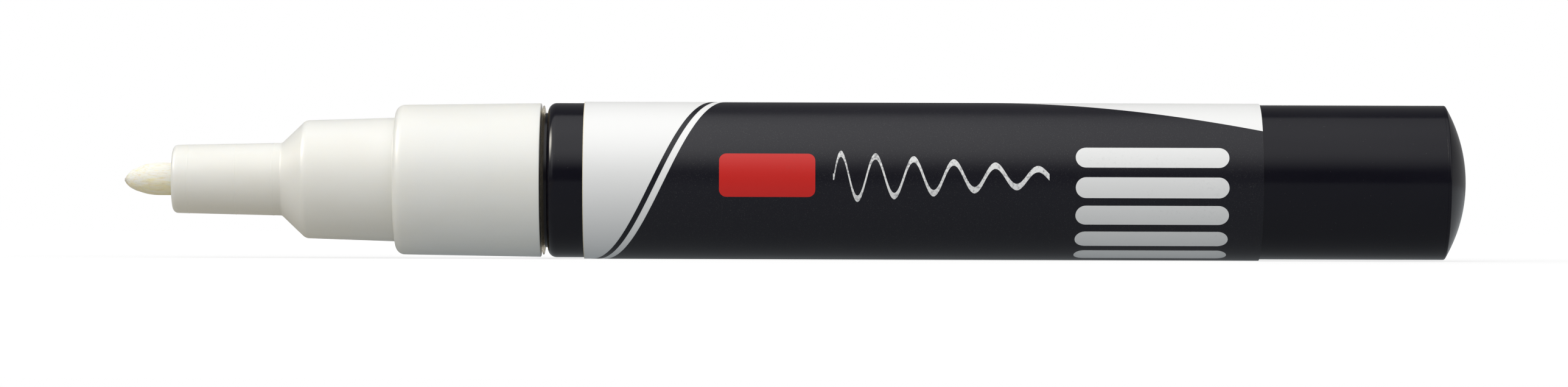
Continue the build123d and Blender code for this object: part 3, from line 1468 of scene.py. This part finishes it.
@dataclass
class Barrel(Assembly):
    """The black barrel, which is the ink tank, and the plug that closes its tail.

    Attributes:
        neck_front: station of the neck's mouth.
        neck_radius: outside of the neck.
        neck_bore: inside of the neck.
        neck_chamfer: chamfer of its mouth.
        bead: the neck's snap bead.
        shoulder: corner where the barrel reaches its full radius.
        seam: station where the barrel ends and the plug's rim begins.
        seam_edge: rounding of both edges at the seam.
        tank_front: station of the tank's front wall.
        tank_bore: inside of the tank.
        plug_front: station of the plug's inner end.
        plug_radius: outside of the plug in the tank.
        plug_bore: inside of the plug.
        plug_chamfer: chamfer of its inner end.
        rim: corner where the dome begins.
        dome_top: station of the dome's top.
        dome_wall: thickness at the dome's top.
        dome_steps: straight pieces of the dome's outside.
        hollow_steps: straight pieces of its inside.
    """

    neck_front: float = 30.85
    neck_radius: float = 6.5
    neck_bore: float = 5.25
    neck_chamfer: float = 0.4
    bead: SnapBead = SnapBead(35.35, 0.6, 0.2, rise=(0.8, 0.6))
    shoulder: Corner = Corner(41.0, 7.46, 0.85)
    seam: float = 127.40
    seam_edge: float = 0.02
    tank_front: float = 42.3
    tank_bore: float = 6.31
    plug_front: float = 122.4
    plug_radius: float = 6.28
    plug_bore: float = 5.28
    plug_chamfer: float = 0.3
    rim: Corner = Corner(127.68, 7.46, 0.16)
    dome_top: float = 129.73
    dome_wall: float = 1.0
    dome_steps: int = 28
    hollow_steps: int = 12

    def tank_profile(self) -> list[Corner]:
        """Corners of the barrel's wall.

        Returns:
            The corners from the neck's mouth along the outside and back inside.
        """
        return [
            Corner(self.neck_front, self.neck_radius - self.neck_chamfer),
            Corner(self.neck_front + self.neck_chamfer, self.neck_radius),
            *self.bead.corners(self.neck_radius, Way.TO_TAIL),
            Corner(self.shoulder.station, self.neck_radius),
            self.shoulder,
            Corner(self.seam, self.shoulder.radius, self.seam_edge),
            Corner(self.seam, self.tank_bore),
            Corner(self.tank_front, self.tank_bore),
            Corner(self.tank_front, self.neck_bore),
            Corner(self.neck_front, self.neck_bore),
        ]

    def plug_profile(self) -> list[Corner]:
        """Corners of the plug's wall.

        Returns:
            The corners from the top of the dome forwards and back to the inside's top.
        """
        top = Corner(self.dome_top, 0.0)
        hollow_top = Corner(self.dome_top - self.dome_wall, 0.0)
        hollow_edge = Corner(self.seam, self.plug_bore)
        hollow = tangent_arc(hollow_top, OUTWARD, hollow_edge, self.hollow_steps)
        return [
            top,
            *tangent_arc(top, OUTWARD, self.rim, self.dome_steps),
            Corner(self.seam, self.rim.radius, self.seam_edge),
            Corner(self.seam, self.plug_radius),
            Corner(self.plug_front + self.plug_chamfer, self.plug_radius),
            Corner(self.plug_front, self.plug_radius - self.plug_chamfer),
            Corner(self.plug_front, self.plug_bore),
            *reversed(hollow),
            hollow_top,
        ]

    def build(self) -> list[Piece]:
        """Turns the barrel and its plug.

        Returns:
            The barrel and the plug.
        """
        tank = turned("barrel_tube", self.tank_profile(), Ends.LOOP).finish()
        plug = turned("tail_dome", self.plug_profile(), Ends.POLES).finish()
        return [tank, plug]

    def dress(self, pieces: Sequence[Piece]) -> None:
        """Gives the barrel and its plug their black plastic."""
        for piece, node in zip(pieces, ("barrel", "tail_plug")):
            settle(piece, BLACK_PLASTIC, Body.MARKER, node)


@dataclass
class Label(Assembly):
    """The wrap label: film with a butt seam at the back, and the inks printed on it.

    Angles are in degrees up from the front of the barrel.

    Attributes:
        front: station of the film's front edge.
        rear: station of its rear edge.
        bore: radius under the film.
        film_radius: radius over the film.
        panel_radius: radius over the ink of the panel.
        print_radius: radius over the inks on the panel.
        overlap: how far a layer reaches into the one under it.
        seam: width of the seam.
        fold: width of the strips that a sheet is divided into before it is rolled.
        corner_faces: straight pieces of a rounded corner.
        panel_front: stations and angles of the ends of the panel's front edge.
        panel_rear: the same of its upper rear edge.
        panel_angles: its lowest and highest angle.
        stripe_gap: from the panel's front edge to the stripe.
        stripe_width: width of the stripe along the axis.
        bar_centre: station and angle of the red bar's middle.
        bar_size: its length and its width round the barrel.
        bar_corner: radius of its corners.
        wave_stations: where the chalk wave begins and ends.
        wave_angle: angle of its middle line.
        wave_swing: its height at the beginning and at the end.
        wave_turns: number of its waves.
        wave_spread: power that makes its waves longer towards the end.
        wave_pen: height of the pen that draws it.
        wave_step: length of one piece of it.
        pill_size: length of a pill and its width round the barrel.
        pill_corner: radius of its ends as a share of its width, just under a half.
        pill_station: station of the pills' middle.
        pill_angles: their angles.
    """

    front: float = 44.52
    rear: float = 109.72
    bore: float = 7.48
    film_radius: float = 7.584
    panel_radius: float = 7.591
    print_radius: float = 7.599
    overlap: float = 0.003
    seam: float = 0.3
    fold: float = 0.22
    corner_faces: int = 10
    panel_front: tuple[Pair, Pair] = ((46.2, -95.0), (57.5, 80.0))
    panel_rear: tuple[Pair, Pair] = ((84.0, 88.0), (109.72, 40.0))
    panel_angles: Pair = (-128.0, 88.0)
    stripe_gap: float = 0.7
    stripe_width: float = 0.55
    bar_centre: Pair = (62.2, 4.0)
    bar_size: Pair = (9.2, 4.2)
    bar_corner: float = 0.7
    wave_stations: Pair = (68.6, 89.2)
    wave_angle: float = 3.0
    wave_swing: Pair = (4.6, 1.4)
    wave_turns: float = 5.5
    wave_spread: float = 0.9
    wave_pen: float = 0.62
    wave_step: float = 0.1
    pill_size: Pair = (14.7, 2.0)
    pill_corner: float = 0.499
    pill_station: float = 99.07
    pill_angles: tuple[float, ...] = (17.7, -4.4, -25.2, -46.6, -67.8)

    def arc(self, degrees: float) -> float:
        """Arc length on the film of an angle up from the front."""
        return math.radians(degrees) * self.film_radius

    def build_film(self) -> Piece:
        """Spins the film's section round the barrel, from one side of the seam to the other.

        Returns:
            The film.
        """
        half_seam = self.seam / 2 / self.film_radius
        middle = (self.bore + self.film_radius) / 2
        piece = Workpiece(
            "label_film",
            bpy.ops.mesh.primitive_plane_add,
            scale=((self.rear - self.front) * MM, (self.film_radius - self.bore) * MM, 1),
            size=1,
            location=(
                DRAWING.x((self.front + self.rear) / 2),
                middle * math.cos(half_seam) * MM,
                DRAWING.axis + middle * math.sin(half_seam) * MM,
            ),
            rotation=(half_seam, 0, 0),
        )
        piece.pick_all()
        bpy.ops.mesh.spin(
            steps=SEGMENTS,
            angle=2 * math.pi - 2 * half_seam,
            center=(0, 0, DRAWING.axis),
            axis=(1, 0, 0),
        )
        return piece.finish()

    def roll(self, piece: Workpiece, outer: float, under: float) -> Piece:
        """Divides a flat sheet into strips, gives it a thickness and rolls it on the label.

        Args:
            piece: the flat sheet, in edit mode.
            outer: radius over the layer.
            under: radius of what it is printed on.

        Returns:
            The rolled object.
        """
        heights = [vertex.co.z / MM for vertex in bmesh.from_edit_mesh(piece.object.data).verts]
        low, high = min(heights), max(heights)
        count = math.ceil((high - low) / self.fold)
        for index in range(1, count):
            piece.cut((0.0, low + (high - low) * index / count), (0.0, 1.0), clear=False)
        piece.face_front()
        sheet = piece.out_of_edit_mode()
        base = under - self.overlap
        apply_modifier(sheet, "SOLIDIFY", thickness=(outer - base) * MM, offset=1.0)
        sheet.location = (0, -base * MM, DRAWING.axis)
        apply_modifier(
            sheet,
            "SIMPLE_DEFORM",
            deform_method="BEND",
            deform_axis="X",
            angle=(high - low) / base,
        )
        piece.into_edit_mode()
        return piece.finish()

    def panel_sheet(self, name: str) -> Workpiece:
        """A flat sheet as long as the film and as high as the panel.

        Args:
            name: name of the piece.

        Returns:
            The sheet, in edit mode.
        """
        bottom, top = (self.arc(angle) for angle in self.panel_angles)
        centre = ((self.front + self.rear) / 2, (bottom + top) / 2)
        return Workpiece.sheet(name, centre, (self.rear - self.front, top - bottom))

    def trim(self, piece: Workpiece, edge: tuple[Pair, Pair], side: Side, shift: float) -> None:
        """Cuts a flat sheet along a slanted edge.

        Args:
            piece: the sheet, in edit mode.
            edge: stations and angles of the edge's ends.
            side: the side that is taken away.
            shift: how far the cut lies behind the edge.
        """
        (start, start_angle), (end, end_angle) = edge
        run, rise = end - start, self.arc(end_angle) - self.arc(start_angle)
        normal = (-rise * side.value, run * side.value)
        piece.cut((start + shift, self.arc(start_angle)), normal)

    def build_panel(self) -> Piece:
        """Cuts the dark panel with its slanted front and upper rear edges.

        Returns:
            The panel.
        """
        piece = self.panel_sheet("label_panel")
        for edge in (self.panel_front, self.panel_rear):
            self.trim(piece, edge, Side.LEFT, 0.0)
        return self.roll(piece, self.panel_radius, self.film_radius)

    def build_stripe(self) -> Piece:
        """Cuts the narrow stripe ahead of the panel.

        Returns:
            The stripe.
        """
        piece = self.panel_sheet("label_stripe")
        self.trim(piece, self.panel_front, Side.LEFT, -self.stripe_gap - self.stripe_width)
        self.trim(piece, self.panel_front, Side.RIGHT, -self.stripe_gap)
        return self.roll(piece, self.panel_radius, self.film_radius)

    def build_rounded(self, name: str, centre: Pair, size: Pair, radius: float) -> Piece:
        """Cuts a shape with rounded corners that is printed on the panel.

        Args:
            name: name of the piece.
            centre: station and angle of its middle.
            size: its length and its width round the barrel.
            radius: radius of its corners.

        Returns:
            The shape.
        """
        piece = Workpiece.sheet(name, (centre[0], self.arc(centre[1])), size)
        piece.pick_all()
        bpy.ops.mesh.bevel(offset=radius * MM, segments=self.corner_faces, affect="VERTICES")
        return self.roll(piece, self.print_radius, self.panel_radius)

    def wave_at(self, share: float) -> float:
        """Height of the chalk wave.

        Args:
            share: how far along the wave, from 0 to 1.

        Returns:
            The arc length of the line's middle.
        """
        first, last = self.wave_swing
        swing = first + share * (last - first)
        angle = 2 * math.pi * self.wave_turns * share**self.wave_spread
        return self.arc(self.wave_angle) + swing / 2 * math.sin(angle)

    def build_wave(self) -> Piece:
        """Draws the chalk wave with an upright pen, from its highest swing to its lowest.

        Returns:
            The wave.
        """
        first, last = self.wave_stations
        count = round((last - first) / self.wave_step)
        heights = [self.wave_at(index / count) for index in range(count + 1)]
        centre = (first - self.wave_step / 2, heights[0])
        piece = Workpiece.sheet("label_wave", centre, (self.wave_step, self.wave_pen))
        end = DRAWING.x(first)
        piece.pick(lambda co: co.x > end - TINY)
        for height, following in zip(heights, heights[1:]):
            piece.extrude(self.wave_step * MM, (following - height) * MM)
        return self.roll(piece, self.print_radius, self.panel_radius)

    def build_pills(self) -> list[Piece]:
        """Cuts one pale pill and copies it round the label.

        Returns:
            The pills.
        """
        radius = self.pill_size[1] * self.pill_corner
        first = self.build_rounded("label_pill_1", (self.pill_station, 0.0), self.pill_size, radius)
        pills = [first]
        for number in range(2, len(self.pill_angles) + 1):
            copy = first.copy()
            copy.data = first.data.copy()
            copy.name = copy.data.name = f"label_pill_{number}"
            bpy.context.scene.collection.objects.link(copy)
            pills.append(copy)
        centre = Matrix.Translation((0, 0, DRAWING.axis))
        for pill, angle in zip(pills, self.pill_angles):
            turn = Matrix.Rotation(-math.radians(angle), 4, "X")
            pill.data.transform(centre @ turn @ centre.inverted())
        return pills

    def build(self) -> list[Piece]:
        """Rolls the film and prints every ink on it.

        Returns:
            The film, the panel, the stripe, the bar, the wave and the pills.
        """
        return [
            self.build_film(),
            self.build_panel(),
            self.build_stripe(),
            self.build_rounded("label_bar", self.bar_centre, self.bar_size, self.bar_corner),
            self.build_wave(),
            *self.build_pills(),
        ]

    def dress(self, pieces: Sequence[Piece]) -> None:
        """Gives the film its white and every print its ink.

        Args:
            pieces: the film and the prints, in the order that they are built in.
        """
        film, *prints = pieces
        settle(film, LABEL_FILM, Body.MARKER, "label")
        inks = [BLACK_INK, BLACK_INK, RED_INK, CHALK_INK, *[PALE_INK] * len(self.pill_angles)]
        for piece, ink in zip(prints, inks):
            settle(piece, ink, Body.MARKER)


@dataclass
class ValveSpring(Assembly):
    """The compression spring behind the valve.

    Attributes:
        front: station of the wire's middle at the front.
        rear: station of the wire's middle at the rear.
        mean_radius: radius of the coil at the wire's middle.
        wire: diameter of the wire.
        turns: number of turns.
        stroke: how far it would be pressed when the nib is right in; not used.
        sides: corners of the wire's section.
        steps: pieces per turn.
        smooth_under: edges that turn by less than this, in degrees, are shaded smooth.
    """

    front: float = 31.36
    rear: float = 39.40
    mean_radius: float = 2.58
    wire: float = 0.5
    turns: int = 6
    stroke: float = 2.5
    sides: int = 20
    steps: int = 48
    smooth_under: float = 60.0

    def build(self) -> list[Piece]:
        """Screws a round section of wire along the axis and closes its ends.

        Returns:
            The spring.
        """
        piece = Workpiece(
            "valve_coil",
            bpy.ops.mesh.primitive_circle_add,
            vertices=self.sides,
            radius=self.wire / 2 * MM,
            location=(0, self.mean_radius * MM, 0),
        )
        coil = piece.out_of_edit_mode()
        apply_modifier(
            coil,
            "SCREW",
            axis="X",
            angle=2 * math.pi * self.turns,
            screw_offset=(self.rear - self.front) * MM,
            iterations=1,
            steps=self.steps * self.turns,
            render_steps=self.steps * self.turns,
            use_merge_vertices=False,
        )
        coil.location = (DRAWING.x(self.front), 0, DRAWING.axis)
        piece.into_edit_mode()
        piece.pick_open_ends()
        bpy.ops.mesh.fill_holes(sides=0)
        return [piece.finish(self.smooth_under)]

    def dress(self, pieces: Sequence[Piece]) -> None:
        """Gives the spring its wire and a mesh of its own.

        Args:
            pieces: the spring.
        """
        coil = pieces[0]
        settle(coil, SPRING_STEEL, Body.MARKER, "valve_spring")
        DRAWING.x(self.rear + self.wire / 2)
        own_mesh(coil)


@dataclass
class Insides(Assembly):
    """The hidden pieces whose CAD shapes stay and get a finish.

    Attributes:
        finishes: the finish of each CAD node.
    """

    finishes: Mapping[str, Finish] = field(
        default_factory=lambda: {
            "valve_seat": SEAT_RUBBER,
            "valve_housing": NATURAL_PLASTIC,
            "valve_stem": NATURAL_PLASTIC,
            "agitator_ball": BALL_STEEL,
        }
    )

    def build(self) -> list[Piece]:
        """Finds the CAD nodes, which keep their shape."""
        return [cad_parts[name] for name in self.finishes]

    def dress(self, pieces: Sequence[Piece]) -> None:
        """Gives each node its finish.

        Args:
            pieces: the nodes, in the order of the finishes.
        """
        for piece, finish in zip(pieces, self.finishes.values()):
            for slot in piece.material_slots:
                slot.material = finish.material()


@dataclass(frozen=True)
class Softbox:
    """A flat soft lamp that faces the middle of the marker.

    Attributes:
        name: name of the lamp.
        azimuth: direction of its middle in degrees from the camera, negative to the left.
        elevation: its lower and upper edge, in degrees above the floor.
        distance: of its middle from the marker, in metres.
        length: its width, in metres.
        radiance: brightness of its brightest part.
        fade: shares of its height, from the lower edge, over which it brightens.
        top: brightness left at its upper edge, as a share.
        top_fade: shares of its height over which it fades to that.
        right: brightness left at its right edge, as a share.
        right_fade: shares of its width over which it fades to that.
        soft: share of its width over which it brightens from both sides.
        rim: where that begins, outside the lamp, so that a lamp that isn't soft is even.
        colour: colour of its light.
        card: whether it is a card that only shows in reflections.
    """

    name: str
    azimuth: float
    elevation: Pair
    distance: float
    length: float
    radiance: float
    fade: Pair = (0.0, 0.3)
    top: float = 1.0
    top_fade: Pair = (0.55, 1.0)
    right: float = 1.0
    right_fade: Pair = (0.42, 0.62)
    soft: float = 0.0
    rim: float = -0.01
    colour: Colour = WHITE
    card: bool = False

    def grade(self, tree: bpy.types.NodeTree) -> None:
        """Grades the brightness over the lamp's height and width.

        Args:
            tree: the lamp's node tree.
        """
        recipe = Recipe(tree)
        inside = recipe.node("ShaderNodeNewGeometry").outputs["Parametric"]
        up, along = recipe.part(inside, "Y"), recipe.part(inside, "X")
        falloff = recipe.step(up, self.top_fade).between((1.0, self.top))
        lean = recipe.step(along, self.right_fade).between((1.0, self.right))
        sides = recipe.step(along.at_most(1 - along), (self.rim, self.soft))
        strength = recipe.step(up, self.fade) * falloff * lean * sides
        glow = recipe.node("ShaderNodeEmission", {}, {"Color": self.colour, "Strength": strength})
        recipe.node("ShaderNodeOutputLight", {}, {"Surface": glow.outputs[0]})

    def hang(self) -> None:
        """Hangs the lamp at its place, turned to the marker."""
        low, high = (math.radians(angle) for angle in self.elevation)
        middle, half = (low + high) / 2, (high - low) / 2
        light = bpy.data.lights.new(self.name, "AREA")
        light.shape = "RECTANGLE"
        light.size = self.length
        light.size_y = 2 * self.distance * math.tan(half)
        light.energy = self.radiance * math.pi * light.size * light.size_y
        light.use_nodes = True
        self.grade(light.node_tree)
        lamp = bpy.data.objects.new(self.name, light)
        bpy.context.scene.collection.objects.link(lamp)
        lamp.visible_camera = False
        lamp.visible_diffuse = not self.card
        turn = math.radians(self.azimuth)
        level = Vector((math.sin(turn), -math.cos(turn), 0))
        place = level * math.cos(middle) + Vector((0, 0, math.sin(middle)))
        lamp.location = place * self.distance
        lamp.rotation_euler = (-place).to_track_quat("-Z", "Y").to_euler()


KEY_BOX = Softbox(
    name="key_box",
    azimuth=0.0,
    elevation=(8.0, 112.0),
    distance=0.5,
    length=1.3,
    radiance=2.0,
    fade=(0.1, 0.42),
    top=0.43,
    right=0.55,
)
LEFT_CARD = Softbox(
    name="left_card",
    azimuth=-84.0,
    elevation=(16.0, 56.0),
    distance=0.6,
    length=0.5,
    radiance=26.0,
    fade=(0.0, 0.5),
    top=0.0,
    soft=0.5,
    colour=(1.0, 0.95, 0.84),
    card=True,
)
LEFT_FILL = Softbox(
    name="left_fill",
    azimuth=-58.0,
    elevation=(0.0, 40.0),
    distance=0.6,
    length=0.6,
    radiance=0.6,
)
RIGHT_FILL = replace(LEFT_FILL, name="right_fill", azimuth=58.0, radiance=0.7)


@dataclass
class Studio:
    """Floor, soft light, backdrop and camera.

    Attributes:
        camera_place: distance from the middle along the axis, to the front and upwards.
        camera_clip: distance from the camera where the picture begins, in metres.
        frame_width: width that the picture shows at the axis.
        sensor: width of the camera's sensor.
        roll: how far the camera leans, in degrees.
        lamps: the softboxes.
        ambient: brightness of the room.
        backdrop: how far to the rear a direction points where the backdrop begins and is full.
        sweep: brightness of the backdrop's low sweep, and how far up it has faded.
        sweep_rear: how far to the rear a direction points where the sweep begins and is full.
        floor_colour: colour of the floor.
        floor_glow: light that the floor gives of its own, as a light table does.
        floor_tint: colour of that light under the nozzle and under the collar.
        tint_stations: stations between which the one changes to the other.
        floor_lift: light added where the camera sees the floor, beside the marker and far off.
        floor_reach: distances from the middle over which the lift grows, in metres.
        floor_stretch: factor on distances along the axis in that.
        floor_size: length of the floor's sides, in metres.
    """

    camera_place: tuple[float, float, float] = (-1.05, 620.0, 6.37)
    camera_clip: float = 0.01
    frame_width: float = 151.8
    sensor: float = 36.0
    roll: float = -0.18
    lamps: tuple[Softbox, ...] = (KEY_BOX, LEFT_CARD, LEFT_FILL, RIGHT_FILL)
    ambient: float = 0.18
    backdrop: Pair = (0.97, 0.995)
    sweep: Pair = (0.1, 0.25)
    sweep_rear: Pair = (0.0, 0.4)
    floor_colour: Colour = (0.2, 0.2, 0.2)
    floor_glow: float = 0.27
    floor_tint: tuple[Colour, Colour] = ((1.0, 0.94, 0.79), (0.88, 0.94, 0.98))
    tint_stations: Pair = (12.0, 34.0)
    floor_lift: Pair = (0.52, 0.8)
    floor_reach: Pair = (0.03, 0.14)
    floor_stretch: float = 0.5
    floor_size: float = 0.8

    def background_rays(self, recipe: Recipe) -> tuple[Value, Value]:
        """Tells rays that show the background apart from those that light the marker.

        Args:
            recipe: the tree that asks.

        Returns:
            1 for rays from the camera or through clear pieces, and 1 for reflected rays.
        """
        path = recipe.node("ShaderNodeLightPath")
        direct = Value(recipe, path.outputs["Is Camera Ray"])
        through = Value(recipe, path.outputs["Is Transmission Ray"])
        return direct.at_least(through), Value(recipe, path.outputs["Is Glossy Ray"])

    def build_floor(self) -> None:
        """Lays the floor, which keeps the marker's shadow and is lifted to white for the camera."""
        bpy.ops.object.select_all(action="DESELECT")
        bpy.ops.mesh.primitive_plane_add(size=self.floor_size)
        floor = bpy.context.active_object
        floor.name = "floor"
        material, recipe = new_recipe("pale_floor")
        seen, _ = self.background_rays(recipe)
        diffuse = recipe.node("ShaderNodeBsdfDiffuse", {}, {"Color": self.floor_colour})
        across = recipe.place(self.floor_stretch)
        distance = recipe.node("ShaderNodeVectorMath", {"operation": "LENGTH"}, {0: across})
        far = recipe.step(Value(recipe, distance.outputs["Value"]), self.floor_reach)
        strength = self.floor_glow + seen * far.between(self.floor_lift)
        first, last = (DRAWING.x(station) for station in self.tint_stations)
        along = recipe.step(recipe.part(recipe.place(), "X"), (first, last))
        tint = recipe.mix(seen, recipe.mix(along, *self.floor_tint), WHITE)
        lift = recipe.node("ShaderNodeEmission", {}, {"Color": recipe.mix(strength, BLACK, tint)})
        both = recipe.node("ShaderNodeAddShader", {}, {0: diffuse.outputs[0], 1: lift.outputs[0]})
        recipe.node("ShaderNodeOutputMaterial", {}, {"Surface": both.outputs[0]})
        floor.data.materials.append(material)

    def build_world(self) -> None:
        """Makes the background white for the camera and the room dim."""
        world = bpy.data.worlds.new("studio")
        world.use_nodes = True
        bpy.context.scene.world = world
        recipe = Recipe(world.node_tree)
        seen, mirrored = self.background_rays(recipe)
        direction = recipe.node("ShaderNodeTexCoord").outputs["Generated"]
        behind, up = recipe.part(direction, "Y"), recipe.part(direction, "Z")
        bright, faded = self.sweep
        low = recipe.step(behind, self.sweep_rear) * (1 - recipe.step(up, (0.0, faded))) * bright
        white = seen.at_least(mirrored * recipe.step(behind, self.backdrop).at_least(low))
        shader = recipe.node(
            "ShaderNodeBackground",
            {},
            {"Color": WHITE, "Strength": white.between((self.ambient, 1.0))},
        )
        recipe.node("ShaderNodeOutputWorld", {}, {"Surface": shader.outputs[0]})

    def build_camera(self) -> None:
        """Sets the camera level with the marker, at the photograph's angle."""
        data = bpy.data.cameras.new("camera")
        data.sensor_fit = "HORIZONTAL"
        data.sensor_width = self.sensor
        across, distance, height = self.camera_place
        data.lens = self.sensor * distance / self.frame_width
        data.clip_start = self.camera_clip
        camera = bpy.data.objects.new("camera", data)
        camera.location = (across * MM, -distance * MM, height * MM)
        camera.rotation_euler = (math.pi / 2, math.radians(self.roll), 0)
        bpy.context.scene.collection.objects.link(camera)
        bpy.context.scene.camera = camera

    def build(self) -> None:
        """Sets up the whole studio."""
        self.build_camera()
        self.build_floor()
        self.build_world()
        for lamp in self.lamps:
            lamp.hang()
        bpy.context.scene.view_settings.view_transform = "Standard"


def main() -> None:
    """Builds the sub-assemblies in order, reports their pieces and sets up the studio."""
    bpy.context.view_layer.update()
    for assembly in (Nib(), Nose(), SealingRing(), Barrel(), Label(), ValveSpring(), Insides()):
        pieces = assembly.build()
        assembly.dress(pieces)
        for piece in pieces:
            faces = len(piece.data.polygons)
            LOG.info("%s: %s, %d faces", type(assembly).__name__, piece.name, faces)
    Studio().build()


if __name__ == "__main__":
    main()
